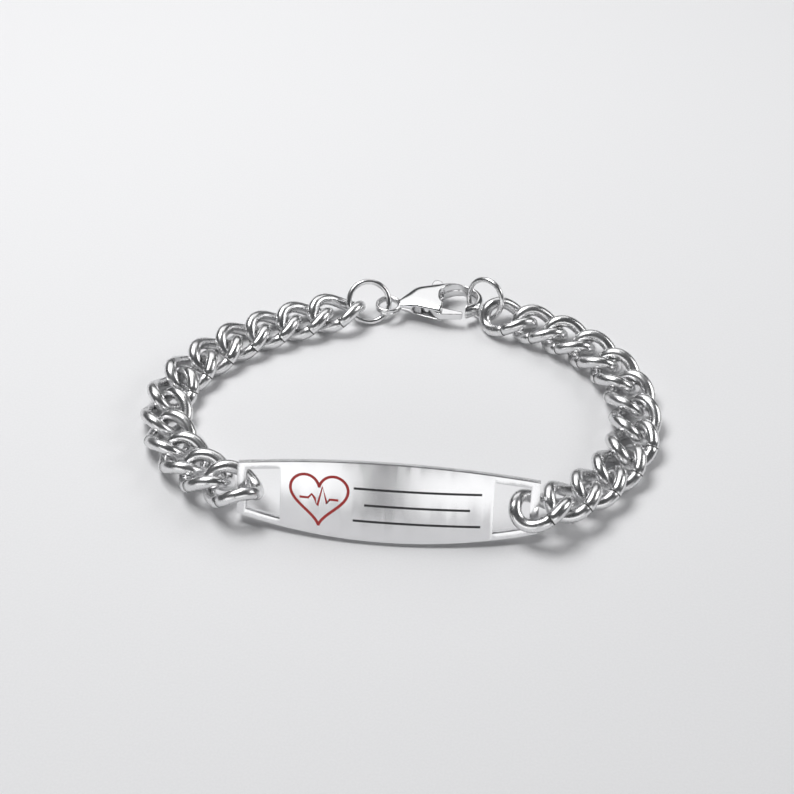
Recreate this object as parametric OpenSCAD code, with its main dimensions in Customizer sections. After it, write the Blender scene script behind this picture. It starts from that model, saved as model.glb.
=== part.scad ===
// Medical alert bracelet, lying closed: a bent plate with a slot at each end,
// two runs of twisted curb chain, a jump ring, a lobster clasp and an end ring.
// X runs along the plate, Y from the plate to the clasp, Z up from the table.

/* [Plate] */
// Length of the plate, straight across from end to end
plate_len = 44.5; // [40:0.5:52]
// Height of the plate at its middle
plate_mid_h = 12; // [11:0.1:15]
// Height of the plate at its two ends
plate_end_h = 7.8; // [7.5:0.1:9]
// Thickness of the plate
plate_thk = 1.4; // [1:0.1:1.6]
// Radius of the bend round the wrist, at the middle of the thickness
plate_bend_r = 100; // [80:5:160]
// Lean of the plate, back from upright
plate_lean = 25; // [22:1:28]
// Length of each slot
slot_len = 5.3; // [4.8:0.1:7]
// Width of the bar between a slot and the end
slot_bar = 1.3; // [1:0.1:1.5]
// Width of the metal above and below a slot
slot_wall = 1; // [0.8:0.05:1.1]

/* [Chain] */
// Wire diameter of a chain link
link_wire = 2; // [1.8:0.05:2.1]
// Length of a link over its wire
link_len = 10.3; // [10:0.1:10.6]
// Width of a link over its wire, before it is twisted
link_wid = 8.4; // [8.2:0.1:8.8]
// Twist from the middle of a link to each end
link_twist = 45; // [42:1:48]
// Free play between two links
link_play = 0.66; // [0.5:0.02:0.7]
// Free play of the last link on the plate's left bar
left_bar_play = 0.7; // [0.3:0.1:0.9]
// Free play of the last link on the plate's right bar
right_bar_play = 1.4; // [1:0.1:1.6]
// Links in the run between the clasp's jump ring and the plate
left_links = 12; // [10:1:14]
// Links in the run between the end ring and the plate
right_links = 12; // [10:1:14]

/* [Rings] */
// Outer diameter of the jump ring in the clasp's eye
jump_ring_od = 7.9; // [7.4:0.1:8.6]
// Wire diameter of the jump ring
jump_ring_wire = 0.95; // [0.8:0.05:1]
// Outer diameter of the end ring that the clasp hooks into
end_ring_od = 7.7; // [7.4:0.1:8]
// Wire diameter of the end ring
end_ring_wire = 0.9; // [0.8:0.05:0.95]

/* [Clasp] */
// Thickness of the clasp's body
clasp_thk = 3.1; // [2.9:0.1:3.4]
// Distance from the centre of the eye to the outside of the nose
clasp_reach = 16.5; // [15.5:0.1:18]
// Width of the body at its widest
clasp_wid = 8.8; // [8.2:0.1:9.6]
// Width of the hook's band at the nose
hook_band = 1.1; // [0.9:0.05:1.4]
// Outer diameter of the eye
eye_od = 4.5; // [4.3:0.1:4.8]
// Diameter of the hole through the eye
eye_hole = 3; // [2.9:0.05:3.1]
// Thickness of the eye
eye_thk = 1.3; // [1.1:0.1:1.4]
// Height of the clasp over the table, as it lies on its two rings
clasp_lift = 0.85; // [0.8:0.05:1]
// Thickness of the lever
lever_thk = 1.2; // [0.9:0.1:1.4]
// Diameter of the lever's pin
pin_d = 1; // [0.8:0.05:1.2]
// Radial clearance of the lever on its pin
pin_clearance = 0.04; // [0.02:0.01:0.08]
// Clearance on each side of the lever in its slot
lever_clearance = 0.1; // [0.06:0.01:0.2]

/* [Hidden] */
function two_digits(i) = i < 10 ? str("0", i) : str(i);
left_names = [for (i = [1 : left_links]) str("link_left_", two_digits(i))];
right_names = [for (i = [1 : right_links]) str("link_right_", two_digits(i))];
$fn = 64;
cut = 0.5; // how far a cutting shape runs past the face that it cuts

// Middle line of the closed loop as it lies, seen from above: a few points
// chosen by hand, clockwise from the middle of the plate, with the rise of
// the chain's middle off its rest height in the third column.
LOOP = [
    [0, -2.4, 2.1], [-12, -1.7, 2.1], [-22.4, 0, 2.1], [-27.6, 2.9, 1.2],
    [-32.2, 6.9, 0.2], [-36, 12.2, 0], [-38, 18.4, 0], [-37.8, 24.6, 0],
    [-35.2, 30.4, 0], [-30.6, 36.2, 0], [-24.6, 41, 0], [-17.6, 44.8, 0.1],
    [-10.4, 47.6, 0.4], [-4, 49.2, 0], [4, 49.4, 0], [11.4, 48.4, 0],
    [17.4, 47.4, 0], [24, 44.8, 0], [29.8, 41, 0], [34.4, 35.8, 0],
    [37.2, 29.4, 0], [37.9, 22.6, 0], [36.6, 16, 0], [33, 9.6, 0.2],
    [28.2, 4.2, 1.2], [22.4, 0, 2.1], [12, -1.7, 2.1]];
route_steps = 8;

// Half the length and half the width of a link's middle line
link_a = (link_len - link_wire) / 2;
link_b = (link_wid - link_wire) / 2;
link_rings = 28;
link_sides = 6;
link_pitch = 2 * link_a - link_wire - link_play;

function unit(v) = v / norm(v);
function turned(p, angle) = [p.x * cos(angle) - p.y * sin(angle), p.x * sin(angle) + p.y * cos(angle)];
function plan(p) = [p.x, p.y];

// Middle line of a link's wire: an oval, turned about its long axis in step
// with the distance from its middle.
function link_mid(t) =
    let (x = link_a * cos(t), w = link_b * sin(t), turn = -link_twist * x / link_a)
    [x, w * cos(turn), w * sin(turn)];

// One ring of the six-sided wire, with a flat side towards the link's middle
// and as much metal as the round wire has.
link_wire_r = link_wire / 2 * sqrt(2 * PI / (3 * sqrt(3)));
function link_ring(t) =
    let (mid = link_mid(t),
         ahead = unit(link_mid(t + 1) - link_mid(t - 1)),
         inward = -unit(mid),
         u = unit(inward - ahead * (inward * ahead)),
         v = cross(ahead, u))
    [for (k = [0 : link_sides - 1])
        let (q = 360 * (k + 0.5) / link_sides) mid + link_wire_r * (cos(q) * u + sin(q) * v)];
link_points = [for (i = [0 : link_rings - 1], p = link_ring(360 * i / link_rings)) p];
link_faces = [for (i = [0 : link_rings - 1], k = [0 : link_sides - 1], half = [0, 1])
    let (here = i * link_sides, next = ((i + 1) % link_rings) * link_sides, k2 = (k + 1) % link_sides)
    half == 0 ? [here + k, next + k2, here + k2] : [here + k, next + k, next + k2]];
link_rest_z = -min([for (p = link_points) p.z]);

// How low a link reaches below its own middle, once it is rolled and climbs
function link_drop(climb, roll) = -min([for (p = link_points)
    p.x * sin(climb) + (p.y * sin(roll) + p.z * cos(roll)) * cos(climb)]);

// The clasp's own frame has its origin at the eye, X towards the nose and Y
// towards the spine. The end ring hangs at ring_hold in that frame.
ring_hold = [clasp_reach - 0.7, 0.9 - clasp_wid / 2];
belly_r = clasp_wid / 2;
nose_r = belly_r - 0.8;
nose_share = 0.74;
nose_x = clasp_reach - nose_r;
belly_x = nose_x - 2.3;
shoulder_at = [belly_x - 4.2, 0.9];
shoulder_r = belly_r - 1.4;
neck_at = [eye_od / 2 + 0.4, 0];
neck_r = 0.95;
mouth_r = belly_r - hook_band - 0.2;
mouth_at = [belly_x + 1.3, 0.2];
pivot_at = [belly_x - 3.7, -0.6];
pin_len = clasp_thk - 0.9;
gate_gap = 0.15;
hook_tip_x = nose_x - 0.35;
hook_slant = 0.9;
lever_tip_r = 0.42;
lever_tip_at = [hook_tip_x - gate_gap - lever_tip_r, -belly_r + 0.7];
lever_heel_at = [belly_x - 1.8, -belly_r + 1.5];
lever_boss_r = 1.3;
lever_tab_at = [belly_x - 1.6, belly_r + 0.4];
lever_tab_r = 0.9;

// Where the pieces sit along the closed loop, from the middle of the plate,
// clockwise seen from above
bar_x = (plate_len - slot_bar) / 2;
plate_axis_y = sqrt(plate_bend_r * plate_bend_r - bar_x * bar_x);
plate_half_arc = plate_bend_r * asin(bar_x / plate_bend_r) * PI / 180;
link_to_bar = link_a - (slot_bar + link_wire) / 2;
jump_r = (jump_ring_od - jump_ring_wire) / 2;
end_r = (end_ring_od - end_ring_wire) / 2;
jump_slack = 1.6;
link_to_eye = link_a + 2 * jump_r - (link_wire + jump_ring_wire) / 2 + (eye_hole - jump_ring_wire) / 2 - jump_slack;
end_slack = 1.4;
end_to_link = link_a + end_r - (link_wire + end_ring_wire) / 2 - end_slack;

s_left_last = plate_half_arc + link_to_bar - left_bar_play;
s_left_first = s_left_last + (left_links - 1) * link_pitch;
s_eye = s_left_first + link_to_eye;
s_end_ring = s_eye + norm(ring_hold);
s_right_first = s_end_ring + end_to_link;
s_right_last = s_right_first + (right_links - 1) * link_pitch;
loop_len = s_right_last + link_to_bar - right_bar_play + plate_half_arc;

// The loop's points joined by a smooth closed curve, grown or shrunk until it
// is as long as its pieces
function smooth(a, b, c, d, t) =
    0.5 * (2 * b + (c - a) * t + (2 * a - 5 * b + 4 * c - d) * t * t + (3 * b - a - 3 * c + d) * t * t * t);
function loop_point(i) = LOOP[(i + len(LOOP)) % len(LOOP)];
drawn = [for (i = [0 : len(LOOP) - 1], j = [0 : route_steps - 1])
    smooth(loop_point(i - 1), loop_point(i), loop_point(i + 1), loop_point(i + 2), j / route_steps)];
closed = concat(drawn, [drawn[0]]);
run = [for (i = 0, s = 0; i < len(closed);
    s = s + norm(plan(closed[(i + 1) % len(closed)]) - plan(closed[i])), i = i + 1) s];
grow = loop_len / run[len(run) - 1];
run_x = [for (i = [0 : len(run) - 1]) [run[i], closed[i].x]];
run_y = [for (i = [0 : len(run) - 1]) [run[i], closed[i].y]];
run_rise = [for (i = [0 : len(run) - 1]) [run[i], closed[i].z]];
function wrapped(s) = (s + loop_len) % loop_len;
function route(s) = let (u = wrapped(s) / grow)
    [lookup(u, run_x) * grow, lookup(u, run_y) * grow, lookup(u, run_rise)];
function bearing(from, to) = atan2(to.y - from.y, to.x - from.x);

// Links that go through a slot are rolled about their own length, to cross the bar
left_bar_roll = -4;
right_bar_roll = 12;
roll_shares = [1, 0.66, 0.33];
function roll_share(from_bar) = from_bar < len(roll_shares) ? roll_shares[from_bar] : 0;
function left_roll(i) = left_bar_roll * roll_share(left_links - i);
function right_roll(i) = right_bar_roll * roll_share(right_links - i);

// Place, heading, climb and roll of the link whose middle is s along the loop
function link_place(s, roll) =
    let (back = route(s - link_pitch / 2), front = route(s + link_pitch / 2), mid = route(s),
         climb = atan2(front.z - back.z, norm(plan(front) - plan(back))))
    [[mid.x, mid.y, max(link_rest_z + mid.z, link_drop(climb, roll))], bearing(back, front), climb, roll];
function left_s(i) = s_left_first - (i - 1) * link_pitch;
function right_s(i) = s_right_first + (i - 1) * link_pitch;

// Where the clasp lies
eye_at = route(s_eye);
end_ring_at = route(s_end_ring);
clasp_turn = bearing(eye_at, end_ring_at) - atan2(ring_hold.y, ring_hold.x);

// Where the two rings hang, in the clasp's own frame: the middle of each ring,
// and the way that it faces, as a turn and a rise
jump_ring_mid = [-3.3, 0.44, 0.67];
jump_ring_faces = [-80.5, 43.2];
end_ring_mid = [clasp_reach + 0.1, -clasp_wid / 8, 1.25];
end_ring_faces = [-134.4, 19.4];

// The whole is centred on its own box, and stands on the plane of the table
plate_sag = plate_bend_r - plate_axis_y;
plate_edge_r = ((plate_len / 2) ^ 2 + ((plate_mid_h - plate_end_h) / 2) ^ 2) / (plate_mid_h - plate_end_h);
function plate_half_h(x) = plate_mid_h / 2 - plate_edge_r + sqrt(plate_edge_r * plate_edge_r - x * x);
function plate_y(x) = plate_axis_y - sqrt(plate_bend_r * plate_bend_r - x * x);
plate_rest_z = -min([for (i = [0 : 20])
    let (x = i * plate_len / 40) -plate_half_h(x) * cos(plate_lean)
        - (plate_y(x) + plate_thk / 2) * sin(plate_lean)]);
tab_at = plan(eye_at) + turned(lever_tab_at, clasp_turn);
nearest_y = -(plate_sag + plate_thk / 2) * cos(plate_lean) - plate_mid_h / 2 * sin(plate_lean);
furthest_y = tab_at.y + lever_tab_r;
all_places = concat([for (i = [1 : left_links]) link_place(left_s(i), left_roll(i))],
    [for (i = [1 : right_links]) link_place(right_s(i), right_roll(i))]);
all_link_x = [for (place = all_places, p = link_points)
    place[0].x + p.x * cos(place[1]) - p.y * sin(place[1])];
middle = [(min(all_link_x) + max(all_link_x)) / 2, (nearest_y + furthest_y) / 2];

module in_place() {
    translate([-middle.x, -middle.y, 0]) children();
}

// One twisted link, with its middle s along the loop
module link(s, roll) {
    place = link_place(s, roll);
    color("silver")
    in_place() translate(place[0]) rotate([0, 0, place[1]]) rotate([0, -place[2], 0]) rotate([place[3], 0, 0])
        polyhedron(link_points, link_faces);
}

module round_ring(od, wire) {
    rotate_extrude() translate([(od - wire) / 2, 0]) circle(d = wire);
}

// The long outline of the plate: two shallow arcs, less a margin, cut off square
module plate_outline(margin, from_x, to_x) {
    intersection() {
        translate([0, plate_mid_h / 2 - plate_edge_r]) circle(r = plate_edge_r - margin, $fn = 360);
        translate([0, plate_edge_r - plate_mid_h / 2]) circle(r = plate_edge_r - margin, $fn = 360);
        translate([from_x, -plate_mid_h]) square([to_x - from_x, 2 * plate_mid_h]);
    }
}

// The plate: a strip bent to the wrist, tapered to its ends, with two slots
module id_plate() {
    slot_x = plate_len / 2 - slot_bar - slot_len;
    color("gainsboro")
    in_place() translate([0, 0, plate_rest_z]) rotate([-plate_lean, 0, 0])
        intersection() {
            translate([0, plate_axis_y, -plate_mid_h]) difference() {
                cylinder(r = plate_bend_r + plate_thk / 2, h = 2 * plate_mid_h, $fn = 360);
                translate([0, 0, -cut])
                    cylinder(r = plate_bend_r - plate_thk / 2, h = 2 * plate_mid_h + 2 * cut, $fn = 360);
            }
            rotate([90, 0, 0]) linear_extrude(height = 2 * plate_sag + 4 * plate_thk, center = true)
                difference() {
                    plate_outline(0, -plate_len / 2, plate_len / 2);
                    for (side = [-1, 1])
                        plate_outline(slot_wall, min(side * slot_x, side * (slot_x + slot_len)),
                            max(side * slot_x, side * (slot_x + slot_len)));
                }
        }
}

// Puts a shape that is drawn in the clasp's own frame where the clasp lies
module on_clasp() {
    in_place() translate([eye_at.x, eye_at.y, clasp_lift + clasp_thk / 2]) rotate([0, 0, clasp_turn]) children();
}

module hung_ring(mid, faces, od, wire) {
    color("silver")
    on_clasp() translate(mid) rotate([0, 90 - faces[1], faces[0]]) round_ring(od, wire);
}

module jump_ring() {
    hung_ring(jump_ring_mid, jump_ring_faces, jump_ring_od, jump_ring_wire);
}

module end_ring() {
    hung_ring(end_ring_mid, end_ring_faces, end_ring_od, end_ring_wire);
}

// A round of the clasp's body, domed over both faces
module domed_round(at, r, thk) {
    translate([at.x, at.y, 0]) {
        cylinder(r = r, h = thk * 0.5, center = true, $fn = 32);
        cylinder(r = r - thk * 0.12, h = thk * 0.8, center = true, $fn = 32);
        cylinder(r = r - thk * 0.36, h = thk, center = true, $fn = 32);
    }
}

// The room for the lever, between the body's two shells
module lever_room() {
    linear_extrude(height = lever_thk + 2 * lever_clearance, center = true) polygon([
        [neck_at.x + 0.9, -belly_r], [shoulder_at.x - 2, shoulder_at.y - 0.6],
        [shoulder_at.x - 1.4, belly_r + cut], [belly_x - 0.6, belly_r + cut],
        [mouth_at.x - mouth_r + 1, mouth_at.y + 1], [mouth_at.x, mouth_at.y],
        [hook_tip_x, -belly_r], [belly_x, -belly_r - cut]]);
}

// The eye, bevelled all round
module eye() {
    bevel = (eye_od - eye_hole) / 6;
    rotate_extrude() polygon([[0, -eye_thk / 2], [eye_od / 2 - bevel, -eye_thk / 2],
        [eye_od / 2, -eye_thk / 2 + bevel], [eye_od / 2, eye_thk / 2 - bevel],
        [eye_od / 2 - bevel, eye_thk / 2], [0, eye_thk / 2]]);
}

// The hole through the eye, flared at both mouths for the jump ring
module eye_bore() {
    flare = (eye_od - eye_hole) / 4;
    land = eye_thk / 6;
    reach = clasp_thk / 2;
    rotate_extrude() polygon([[0, -reach], [eye_hole / 2 + flare, -reach], [eye_hole / 2 + flare, -eye_thk / 2],
        [eye_hole / 2, -land], [eye_hole / 2, land], [eye_hole / 2 + flare, eye_thk / 2],
        [eye_hole / 2 + flare, reach], [0, reach]]);
}

module clasp_body() {
    color("whitesmoke")
    on_clasp() difference() {
        union() {
            eye();
            hull() {
                translate([neck_at.x, neck_at.y, 0]) cylinder(r = neck_r, h = eye_thk, center = true, $fn = 32);
                domed_round(shoulder_at, shoulder_r, clasp_thk);
                domed_round([belly_x, 0], belly_r, clasp_thk);
                domed_round([nose_x, 0], nose_r, clasp_thk * nose_share);
            }
        }
        eye_bore();
        hull() {
            translate([mouth_at.x, mouth_at.y, 0]) cylinder(r = mouth_r, h = clasp_thk + cut, center = true);
            translate([nose_x, 0, 0]) cylinder(r = nose_r - hook_band, h = clasp_thk + cut, center = true);
        }
        linear_extrude(height = clasp_thk + cut, center = true) polygon([
            [mouth_at.x - mouth_r + 0.4, -1.5], [mouth_at.x - mouth_r, -belly_r - cut],
            [hook_tip_x, -belly_r - cut], [hook_tip_x, -belly_r], [hook_tip_x + hook_slant, -1.5]]);
        lever_room();
        translate([pivot_at.x, pivot_at.y, 0])
            cylinder(r = pin_d / 2 + pin_clearance / 2, h = pin_len + pin_clearance, center = true);
    }
}

module clasp_lever() {
    color("whitesmoke")
    on_clasp() difference() {
        union() {
            translate([pivot_at.x, pivot_at.y, 0]) cylinder(r = lever_boss_r, h = lever_thk, center = true);
            hull() {
                translate([pivot_at.x, pivot_at.y, 0]) cylinder(r = 1, h = lever_thk, center = true, $fn = 32);
                translate([lever_heel_at.x, lever_heel_at.y, 0])
                    cylinder(r = 0.9, h = lever_thk, center = true, $fn = 32);
            }
            hull() {
                translate([lever_heel_at.x, lever_heel_at.y, 0])
                    cylinder(r = 0.9, h = lever_thk, center = true, $fn = 32);
                translate([lever_tip_at.x, lever_tip_at.y, 0])
                    cylinder(r = lever_tip_r, h = lever_thk, center = true, $fn = 32);
            }
            hull() {
                translate([pivot_at.x, pivot_at.y, 0]) cylinder(r = 0.8, h = lever_thk, center = true, $fn = 32);
                translate([lever_tab_at.x, lever_tab_at.y, 0])
                    cylinder(r = lever_tab_r, h = lever_thk, center = true, $fn = 32);
            }
        }
        translate([pivot_at.x, pivot_at.y, 0])
            cylinder(r = pin_d / 2 + pin_clearance, h = lever_thk + cut, center = true);
    }
}

module clasp_pin() {
    color("silver")
    on_clasp() translate([pivot_at.x, pivot_at.y, 0]) cylinder(d = pin_d, h = pin_len, center = true);
}

id_plate();
for (i = [1 : left_links])
    link(left_s(i), left_roll(i));
for (i = [1 : right_links])
    link(right_s(i), right_roll(i));
jump_ring();
end_ring();
clasp_body();
clasp_lever();
clasp_pin();
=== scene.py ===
"""A medical alert bracelet in polished steel, lying closed on a pale table.

Lengths are in metres, in the frame of the solids.
"""

from math import atan2, cos, pi, radians, sin, sqrt

import bmesh
import bpy
import numpy as np
from mathutils import Matrix, Vector


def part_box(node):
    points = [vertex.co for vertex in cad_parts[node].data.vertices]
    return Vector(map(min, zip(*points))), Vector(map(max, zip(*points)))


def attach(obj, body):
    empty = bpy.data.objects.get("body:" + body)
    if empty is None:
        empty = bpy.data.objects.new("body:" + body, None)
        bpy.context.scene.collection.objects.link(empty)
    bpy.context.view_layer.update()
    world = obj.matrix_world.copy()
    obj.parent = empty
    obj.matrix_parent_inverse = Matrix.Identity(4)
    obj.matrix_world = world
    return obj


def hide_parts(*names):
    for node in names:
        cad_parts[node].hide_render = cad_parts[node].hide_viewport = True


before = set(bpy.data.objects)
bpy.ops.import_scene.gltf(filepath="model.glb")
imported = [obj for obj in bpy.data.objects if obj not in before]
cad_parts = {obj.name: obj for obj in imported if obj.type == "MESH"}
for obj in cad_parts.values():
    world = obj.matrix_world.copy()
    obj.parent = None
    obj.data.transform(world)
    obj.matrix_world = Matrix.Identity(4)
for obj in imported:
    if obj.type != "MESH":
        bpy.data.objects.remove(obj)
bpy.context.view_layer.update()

# The identity plate: one stamped strip of stainless steel, bent to the wrist,
# with a slot punched at each end, then tumbled so that its edges are soft and
# its face has a fine satin polish.
MM = 0.001
weld_in_solids = 0.002 * MM
weld_in_new = 0.001 * MM
plate_tint = (0.79, 0.79, 0.80)
plate_bend_r = 100 * MM
plate_thick = 1.4 * MM
plate_lean = radians(25)
plate_strips = 60
plate_corner = radians(40)
plate_edge_soft = 0.16 * MM
lines_along_plate = (60, 9000, 9000)
clouds_per_metre = 420
duller = 0.975
# A noise texture's values hardly leave this range
noise_low, noise_high = 0.3, 0.7


def mottle(material, noise, dull, bright, dull_under, bright_over):
    """Lets a noise shift a material's colour between a dull and a bright one."""
    nodes, links = material.node_tree.nodes, material.node_tree.links
    shade = nodes.new("ShaderNodeValToRGB")
    low, high = shade.color_ramp.elements
    low.position = dull_under
    low.color = (*dull, 1)
    high.position = bright_over
    high.color = (*bright, 1)
    links.new(noise.outputs["Fac"], shade.inputs["Fac"])
    links.new(shade.outputs["Color"], nodes["Principled BSDF"].inputs["Base Color"])


def steel(name, tint, gloss, wander, line_depth, lines_per_metre):
    """Polished steel whose gloss drifts in soft clouds, with fine lines counted along X, Y and Z."""
    metal = bpy.data.materials.new(name)
    metal.use_nodes = True
    nodes, links = metal.node_tree.nodes, metal.node_tree.links
    shader = nodes["Principled BSDF"]
    shader.inputs["Metallic"].default_value = 1.0
    place = nodes.new("ShaderNodeTexCoord")
    clouds = nodes.new("ShaderNodeTexNoise")
    clouds.inputs["Scale"].default_value = clouds_per_metre
    clouds.inputs["Detail"].default_value = 4
    links.new(place.outputs["Object"], clouds.inputs["Vector"])
    drift = nodes.new("ShaderNodeMapRange")
    drift.inputs["From Min"].default_value = noise_low
    drift.inputs["From Max"].default_value = noise_high
    drift.inputs["To Min"].default_value = gloss - wander
    drift.inputs["To Max"].default_value = gloss + wander
    links.new(clouds.outputs["Fac"], drift.inputs["Value"])
    links.new(drift.outputs["Result"], shader.inputs["Roughness"])
    mottle(metal, clouds, [c * duller for c in tint], tint, dull_under=0.35, bright_over=0.62)
    stretch = nodes.new("ShaderNodeMapping")
    stretch.inputs["Scale"].default_value = lines_per_metre
    links.new(place.outputs["Object"], stretch.inputs["Vector"])
    lines = nodes.new("ShaderNodeTexNoise")
    lines.inputs["Scale"].default_value = 1
    lines.inputs["Detail"].default_value = 3
    links.new(stretch.outputs["Vector"], lines.inputs["Vector"])
    relief = nodes.new("ShaderNodeBump")
    relief.inputs["Strength"].default_value = 0.35
    relief.inputs["Distance"].default_value = line_depth
    links.new(lines.outputs["Fac"], relief.inputs["Height"])
    links.new(relief.outputs["Normal"], shader.inputs["Normal"])
    return metal


def piece_from(bm, name, material, body, smooth_under=40):
    """Makes a piece of its bmesh, shaded smooth up to an angle in degrees, and rides it on a body."""
    mesh = bpy.data.meshes.new(name)
    bm.to_mesh(mesh)
    bm.free()
    mesh.shade_smooth()
    mesh.set_sharp_from_angle(angle=radians(smooth_under))
    mesh.materials.append(material)
    made = bpy.data.objects.new(name, mesh)
    bpy.context.scene.collection.objects.link(made)
    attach(made, body)
    return made


def merged_copy(node, flat_under):
    """A bmesh of a solid, its loose triangles joined and faces within flat_under degrees made one."""
    bm = bmesh.new()
    bm.from_mesh(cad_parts[node].data)
    bmesh.ops.remove_doubles(bm, verts=bm.verts, dist=weld_in_solids)
    bmesh.ops.dissolve_limit(bm, angle_limit=radians(flat_under), verts=bm.verts, edges=bm.edges)
    return bm


plate_low, plate_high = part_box("id_plate")
plate_mid_x = (plate_low.x + plate_high.x) / 2
plate_len = plate_high.x - plate_low.x
# The plate's own frame has its face's middle at the origin and its height along Z
plate_back = Matrix.Rotation(plate_lean, 4, "X")
upright = [plate_back @ v.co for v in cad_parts["id_plate"].data.vertices]
heights = [p.z for p in upright]
plate_mid_h = (min(heights) + max(heights)) / 2
plate_face_y = min(p.y for p in upright)
to_plate = Matrix.Translation((-plate_mid_x, -plate_face_y, -plate_mid_h)) @ plate_back
from_plate = to_plate.inverted()
face_r = plate_bend_r + plate_thick / 2


def plate_depth(x, off_face=0.0):
    """How far back the plate's face lies at x, or a surface that stands off it."""
    r = face_r + off_face
    return face_r - sqrt(r * r - x * x)


bm = merged_copy("id_plate", flat_under=1.0)
bm.transform(to_plate)
for strip in range(1, plate_strips):
    at = plate_len * (strip / plate_strips - 0.5)
    bmesh.ops.bisect_plane(bm, geom=bm.verts[:] + bm.edges[:] + bm.faces[:], dist=weld_in_new,
                           plane_co=(at, 0, 0), plane_no=(1, 0, 0))
for v in bm.verts:
    front, rear = plate_depth(v.co.x), plate_depth(v.co.x, -plate_thick)
    v.co.y = front if abs(v.co.y - front) < abs(v.co.y - rear) else rear
bm.normal_update()
corners = [e for e in bm.edges if e.is_manifold and e.calc_face_angle() > plate_corner]
bmesh.ops.bevel(bm, geom=corners, offset=plate_edge_soft, segments=3, profile=0.5, affect="EDGES",
                material=-1, clamp_overlap=True)
bm.transform(from_plate)
plate_steel = steel("plate_satin_steel", plate_tint, gloss=0.23, wander=0.008, line_depth=0.0008 * MM,
                    lines_per_metre=lines_along_plate)
plate = piece_from(bm, "identity_plate", plate_steel, "bracelet", smooth_under=50)
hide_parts("id_plate")

# The marking on the plate's face: a heart with a pulse line, cut by laser and
# filled with red enamel, and three plain dark rules, engraved and blackened.
fill_proud = 0.025 * MM
heart_at = (-9.8 * MM, -0.3 * MM)
heart_high = 7.8 * MM
heart_line = 0.42 * MM
heart_steps = 72
heart_red = (0.52, 0.018, 0.014)
pulse_line = 0.36 * MM
pulse_rise_mm = 0.3
rule_high = 0.34 * MM
rule_steps = 24
rule_black = (0.035, 0.035, 0.038)
# Each rule's middle along the plate, its height on the face and its length, in millimetres
rules_mm = {"rule_top": (4.6, 2.1, 18.6), "rule_middle": (4.6, -0.4, 15.4), "rule_bottom": (4.6, -2.9, 18.6)}
# The pulse line's turns, along and up from the heart's middle, in millimetres
beat_mm = [(-2.9, 0), (-1.6, 0), (-1.1, 0.6), (-0.6, 0), (-0.2, -1.1), (0.5, 1.9), (1.2, -0.7),
           (1.6, 0), (2.9, 0)]


def plain_paint(name, colour, gloss, wear):
    """A dull or glossy fill whose colour is a little uneven, as in an engraved line."""
    paint = bpy.data.materials.new(name)
    paint.use_nodes = True
    nodes, links = paint.node_tree.nodes, paint.node_tree.links
    nodes["Principled BSDF"].inputs["Roughness"].default_value = gloss
    place = nodes.new("ShaderNodeTexCoord")
    grain = nodes.new("ShaderNodeTexNoise")
    grain.inputs["Scale"].default_value = 3000
    links.new(place.outputs["Object"], grain.inputs["Vector"])
    mottle(paint, grain, [c * (1 - wear) for c in colour], colour, dull_under=0.35, bright_over=0.7)
    return paint


def ribbon_on_plate(name, path, width, closed, material):
    """A flat line of even width along a path of (x, height) points, laid on the plate's bent face."""
    bm = bmesh.new()
    count = len(path)
    sides = []
    for i, p in enumerate(path):
        before = path[i - 1] if closed or i else p
        after = path[(i + 1) % count] if closed or i < count - 1 else p
        ahead = Vector((after[0] - before[0], after[1] - before[1])).normalized()
        across = Vector((-ahead.y, ahead.x)) * width / 2
        sides.append([bm.verts.new((p[0] + s * across.x, 0, p[1] + s * across.y)) for s in (1, -1)])
    pairs = zip(sides, sides[1:] + sides[:1]) if closed else zip(sides, sides[1:])
    for (a, b), (c, d) in pairs:
        bm.faces.new((a, b, d, c))
    bmesh.ops.recalc_face_normals(bm, faces=bm.faces)
    raised = bmesh.ops.extrude_face_region(bm, geom=bm.faces[:])
    top = {v for v in raised["geom"] if isinstance(v, bmesh.types.BMVert)}
    for v in bm.verts:
        proud = fill_proud if v in top else -fill_proud
        v.co.y = plate_depth(v.co.x, proud)
    bmesh.ops.recalc_face_normals(bm, faces=bm.faces)
    bm.transform(from_plate)
    made = piece_from(bm, name, material, "bracelet")
    return made


def heart_point(t):
    """A point of the usual heart curve, made one unit high, for t from 0 to a full turn."""
    across = 16 * sin(t) ** 3
    up = 13 * cos(t) - 5 * cos(2 * t) - 2 * cos(3 * t) - cos(4 * t)
    return across / 29, (up + 2.5) / 29


red_enamel = plain_paint("red_enamel", heart_red, gloss=0.28, wear=0.25)
black_fill = plain_paint("blackened_engraving", rule_black, gloss=0.55, wear=0.3)
outline = []
for i in range(heart_steps):
    across, up = heart_point(2 * pi * (i + 0.5) / heart_steps)
    outline.append((heart_at[0] + heart_high * across, heart_at[1] + heart_high * up))
ribbon_on_plate("heart_outline", outline, heart_line, True, red_enamel)
pulse = [(heart_at[0] + x * MM, heart_at[1] + (z + pulse_rise_mm) * MM) for x, z in beat_mm]
ribbon_on_plate("pulse_line", pulse, pulse_line, False, red_enamel)
for rule, (x, z, long) in rules_mm.items():
    path = [((x - long / 2 + long * i / rule_steps) * MM, z * MM) for i in range(rule_steps + 1)]
    ribbon_on_plate(rule, path, rule_high, False, black_fill)

# The chain: curb links of round 2 mm wire, each coiled, cut, twisted a quarter
# turn end to end and closed with a butt joint, which shows as a fine dark seam.
# The twenty-four links go through each other and through the plate's slots.
wire = 2.0 * MM
link_len = 10.3 * MM
link_wid = 8.4 * MM
link_twist = radians(45)
link_a, link_b = (link_len - wire) / 2, (link_wid - wire) / 2
link_rings, wire_sides = 72, 16
# The plain ring that every link is bent from, in units of its own wire's radius
blank_r = 10.0
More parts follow.
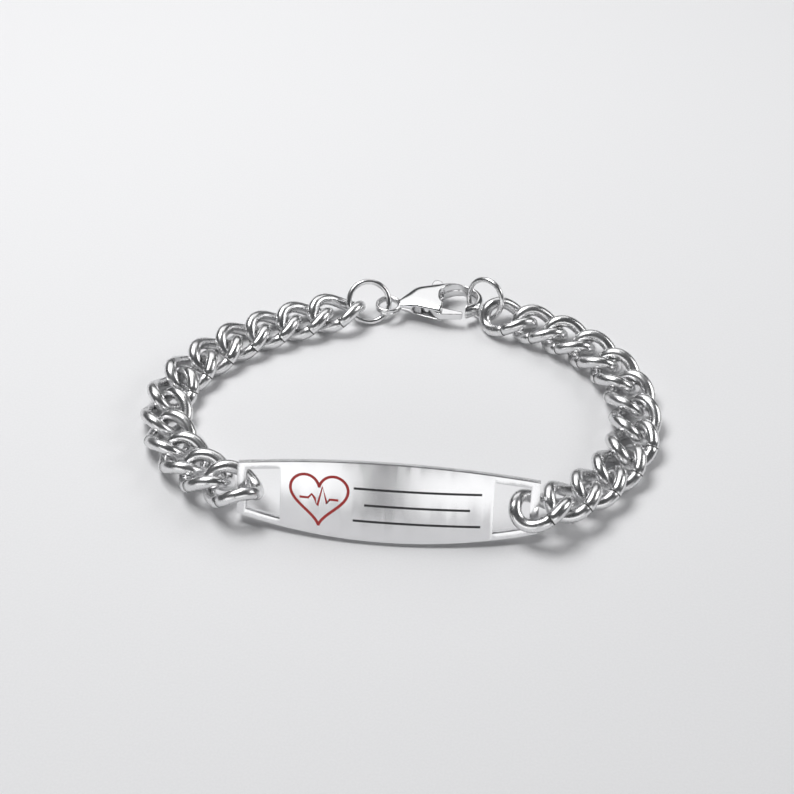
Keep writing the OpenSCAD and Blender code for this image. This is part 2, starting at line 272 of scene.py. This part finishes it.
# How far apart along the wire, as an angle, the two points lie that give its heading
heading_step = 0.01
seam_half = 0.07 * MM
seam_deep = 0.09 * MM
seam_black = (0.05, 0.05, 0.05)
wire_tint = (0.78, 0.78, 0.785)
chain_scratches = (5200, 5200, 5200)
chain_steel = steel("chain_polished_steel", wire_tint, gloss=0.27, wander=0.04, line_depth=0.0015 * MM,
                    lines_per_metre=chain_scratches)
seam_steel = plain_paint("seam_shadow", seam_black, gloss=0.6, wear=0.3)


def wire_ring(radius, wire_r, rings, sides):
    """A round wire bent to a circle in the XY plane, made by spinning one circle of wire."""
    bm = bmesh.new()
    stood_up = Matrix.Translation((radius, 0, 0)) @ Matrix.Rotation(pi / 2, 4, "X")
    start = bmesh.ops.create_circle(bm, segments=sides, radius=wire_r, matrix=stood_up)
    bmesh.ops.spin(bm, geom=start["verts"] + bm.edges[:], cent=(0, 0, 0), axis=(0, 0, 1), angle=2 * pi,
                   steps=rings, use_merge=True)
    bmesh.ops.remove_doubles(bm, verts=bm.verts, dist=weld_in_new)
    bmesh.ops.recalc_face_normals(bm, faces=bm.faces)
    return bm


def link_mid(t):
    """The middle line of a link's wire: an oval that turns about its long axis from end to end."""
    x, w = link_a * cos(t), link_b * sin(t)
    turn = -link_twist * x / link_a
    return Vector((x, w * cos(turn), w * sin(turn)))


def rings_from_seam(v):
    """How many rings of the wire lie between a vertex of the plain ring and its seam."""
    index = abs(round(atan2(v.co.y, v.co.x) / (2 * pi) * link_rings))
    return min(index, link_rings - index)


def twisted_link():
    """One link about the origin, long along X, with its seam in the middle of one side."""
    bm = wire_ring(blank_r, 1.0, link_rings, wire_sides)
    for f in bm.faces:
        f.material_index = int(max(rings_from_seam(v) for v in f.verts) <= 1)
    for v in bm.verts:
        step = atan2(v.co.y, v.co.x)
        out = sqrt(v.co.x ** 2 + v.co.y ** 2) - blank_r
        near = rings_from_seam(v)
        t = pi / 2 + step
        if near == 1:
            t = pi / 2 + (seam_half / link_a) * (1 if step > 0 else -1)
        mid = link_mid(t)
        ahead = (link_mid(t + heading_step) - link_mid(t - heading_step)).normalized()
        outward = (mid - ahead * mid.dot(ahead)).normalized()
        up = outward.cross(ahead)
        radius = wire / 2 - (seam_deep if near == 0 else 0)
        v.co = mid + (outward * out + up * v.co.z) * radius
    bmesh.ops.recalc_face_normals(bm, faces=bm.faces)
    return bm


def lie_of(node):
    """Where a solid lies: the turn from its own long, wide and thin ways, and its middle."""
    points = np.array([v.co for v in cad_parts[node].data.vertices])
    points = np.unique(points.round(8), axis=0)
    mid = points.mean(0)
    ways = np.linalg.eigh(np.cov((points - mid).T))[1]
    long, wide = Vector(ways[:, 2]), Vector(ways[:, 1])
    if wide.y > 0:
        wide.negate()
    turn = Matrix((long, wide, long.cross(wide))).transposed().to_4x4()
    return Matrix.Translation(mid) @ turn


link_names = [n for n in sorted(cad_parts) if n.startswith("link_")]
for node in link_names:
    bm = twisted_link()
    bm.transform(lie_of(node))
    link = piece_from(bm, node.replace("link", "curb_link"), chain_steel, "bracelet", smooth_under=60)
    link.data.materials.append(seam_steel)
    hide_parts(node)

# The jump ring in the clasp's eye and the end ring on the chain's last link:
# round steel wire, coiled and cut, with the cut pressed shut.
# Each ring's outer diameter and the diameter of its wire, in millimetres
ring_sizes_mm = {"jump_ring": (7.9, 0.95), "end_ring": (7.7, 0.9)}
ring_rings = 96
ring_scratches = (6000, 6000, 6000)
ring_steel = steel("ring_polished_steel", wire_tint, gloss=0.24, wander=0.03, line_depth=0.0015 * MM,
                   lines_per_metre=ring_scratches)
for node, (od, thick) in ring_sizes_mm.items():
    bm = wire_ring((od - thick) / 2 * MM, thick / 2 * MM, ring_rings, wire_sides)
    bm.transform(lie_of(node))
    ring = piece_from(bm, node + "_wire", ring_steel, "bracelet", smooth_under=60)
    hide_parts(node)

# The lobster clasp: two steel shells joined as one plump body with an eye and
# a hook, tumbled to a mirror polish, so that every edge is rounded over.
shell_grain = 0.11 * MM
shell_rounds = 14
clasp_scratches = (4500, 4500, 4500)
clasp_tint = (0.78, 0.78, 0.785)
clasp_steel = steel("clasp_polished_steel", clasp_tint, gloss=0.17, wander=0.03, line_depth=0.0012 * MM,
                    lines_per_metre=clasp_scratches)


def freeze_modifiers(piece):
    """Makes what the modifiers show the piece's own mesh."""
    seen = piece.evaluated_get(bpy.context.evaluated_depsgraph_get())
    shown = bpy.data.meshes.new_from_object(seen)
    piece.modifiers.clear()
    piece.data = shown
    shown.materials.clear()
    shown.materials.append(clasp_steel)
    shown.shade_smooth()


def tumbled(node, name, body, grain, rounds):
    """A solid's copy, remeshed evenly and smoothed as tumbling rounds a casting."""
    piece = piece_from(merged_copy(node, flat_under=0.2), name, clasp_steel, body, smooth_under=180)
    remesh = piece.modifiers.new("even", "REMESH")
    remesh.mode = "VOXEL"
    remesh.voxel_size = grain
    remesh.use_smooth_shade = True
    soften = piece.modifiers.new("tumbled", "SMOOTH")
    soften.factor = 0.5
    soften.iterations = rounds
    freeze_modifiers(piece)
    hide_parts(node)
    return piece


shell = tumbled("clasp_body", "clasp_shell", "bracelet", shell_grain, shell_rounds)
# Between the eye and the mouth the body is worn to one full, even dome. The
# middles of both are measured from the lever's pin, along the clasp and
# across it, and round each the wear fades out.
clasp_heading = radians(9.95)
eye_from_pin_mm = (-6.9, 0.6, 0)
eye_keep_r, eye_fade = 3.0 * MM, 1.6 * MM
mouth_from_pin_mm = (5.0, 0.8, 0)
mouth_keep_r, mouth_fade = 3.5 * MM, 0.9 * MM
dome_rounds = 110
clasp_turn = Matrix.Rotation(clasp_heading, 3, "Z")
pin_low, pin_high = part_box("clasp_pin")
pin_mid = (pin_low + pin_high) / 2
eye_mid = pin_mid + clasp_turn @ Vector(eye_from_pin_mm) * MM
mouth_mid = pin_mid + clasp_turn @ Vector(mouth_from_pin_mm) * MM
dome = shell.vertex_groups.new(name="dome")
for v in shell.data.vertices:
    off_eye = ((v.co - eye_mid).xy.length - eye_keep_r) / eye_fade
    off_mouth = ((v.co - mouth_mid).xy.length - mouth_keep_r) / mouth_fade
    dome.add([v.index], max(0.0, min(1.0, off_eye, off_mouth)), "REPLACE")
round_over = shell.modifiers.new("full_dome", "SMOOTH")
round_over.factor = 0.5
round_over.iterations = dome_rounds
round_over.vertex_group = "dome"
freeze_modifiers(shell)
# The two shells meet in a fine groove all round the edge
groove_half, groove_deep = 0.14 * MM, 0.13 * MM
shell_low, shell_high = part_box("clasp_body")
shell_mid = (shell_low.z + shell_high.z) / 2
on_edge = [v for v in shell.data.vertices if abs(v.co.z - shell_mid) < groove_half and abs(v.normal.z) < 0.5]
inwards = {v.index: v.normal.copy() for v in on_edge}
for i, way in inwards.items():
    shell.data.vertices[i].co -= way * groove_deep

# The clasp's lever: a stamped steel finger with a thumb tab, turning on a pin
# inside the body and sprung shut against the hook's tip.
lever_grain = 0.09 * MM
lever_rounds = 4
tumbled("clasp_lever", "clasp_finger", "lever", lever_grain, lever_rounds)
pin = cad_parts["clasp_pin"]
pin.data.materials.clear()
pin.data.materials.append(clasp_steel)

# The table: a plain pale sheet, matt, with a faint unevenness like fine paper.
table_half = 0.9
table_tint = (0.80, 0.80, 0.81)
bm = bmesh.new()
bmesh.ops.create_grid(bm, x_segments=1, y_segments=1, size=table_half)
table_mesh = bpy.data.meshes.new("table")
bm.to_mesh(table_mesh)
bm.free()
table = bpy.data.objects.new("table", table_mesh)
bpy.context.scene.collection.objects.link(table)
table_paper = plain_paint("table_paper", table_tint, gloss=0.75, wear=0.03)
table_mesh.materials.append(table_paper)

# The studio: soft boxes above, behind and in front, and a dim grey room that
# the steel mirrors as dark bands between them.
room_grey = (0.42, 0.43, 0.45, 1)
room_glow = 0.15
# Each soft box: where it hangs, what it shines at, its width and height, and its watts
soft_boxes = {
    "key_above": ((-0.16, 0.10, 0.42), (0, 0, 0), (0.26, 0.20), 1.62),
    "fill_right": ((0.40, 0.10, 0.26), (0, 0, 0), (0.22, 0.20), 0.60),
    "front_left": ((-0.24, -0.42, 0.11), (-0.01, -0.02, 0.006), (0.36, 0.20), 0.31),
    "front_right": ((0.18, -0.46, 0.11), (0.01, -0.02, 0.006), (0.40, 0.20), 0.33),
    "back_high": ((-0.04, 0.30, 0.30), (0, 0.02, 0), (0.44, 0.24), 0.39),
}
world = bpy.data.worlds.new("studio_room")
world.use_nodes = True
world.node_tree.nodes["Background"].inputs["Color"].default_value = room_grey
world.node_tree.nodes["Background"].inputs["Strength"].default_value = room_glow
bpy.context.scene.world = world
for name, (at, aim, (wide, high), watts) in soft_boxes.items():
    lamp = bpy.data.lights.new(name, "AREA")
    lamp.shape = "RECTANGLE"
    lamp.size = wide
    lamp.size_y = high
    lamp.energy = watts
    hung = bpy.data.objects.new(name, lamp)
    hung.location = at
    hung.rotation_euler = (Vector(aim) - Vector(at)).to_track_quat("-Z", "Y").to_euler()
    bpy.context.scene.collection.objects.link(hung)

# The camera: a long lens a quarter of a metre away, looking down at 42 degrees
# from a little to the right of the plate's middle.
camera_at = (15.94 * MM, -175.2 * MM, 160.6 * MM)
camera_turn = (radians(48), 0, radians(5.5))
camera_lens = 66.8
photo_camera = bpy.data.cameras.new("photo_camera")
photo_camera.sensor_width = 36
photo_camera.lens = camera_lens
photo_camera.clip_start = 0.01
camera = bpy.data.objects.new("photo_camera", photo_camera)
camera.location = camera_at
camera.rotation_euler = camera_turn
bpy.context.scene.collection.objects.link(camera)
bpy.context.scene.camera = camera
bpy.context.scene.view_settings.view_transform = "Standard"
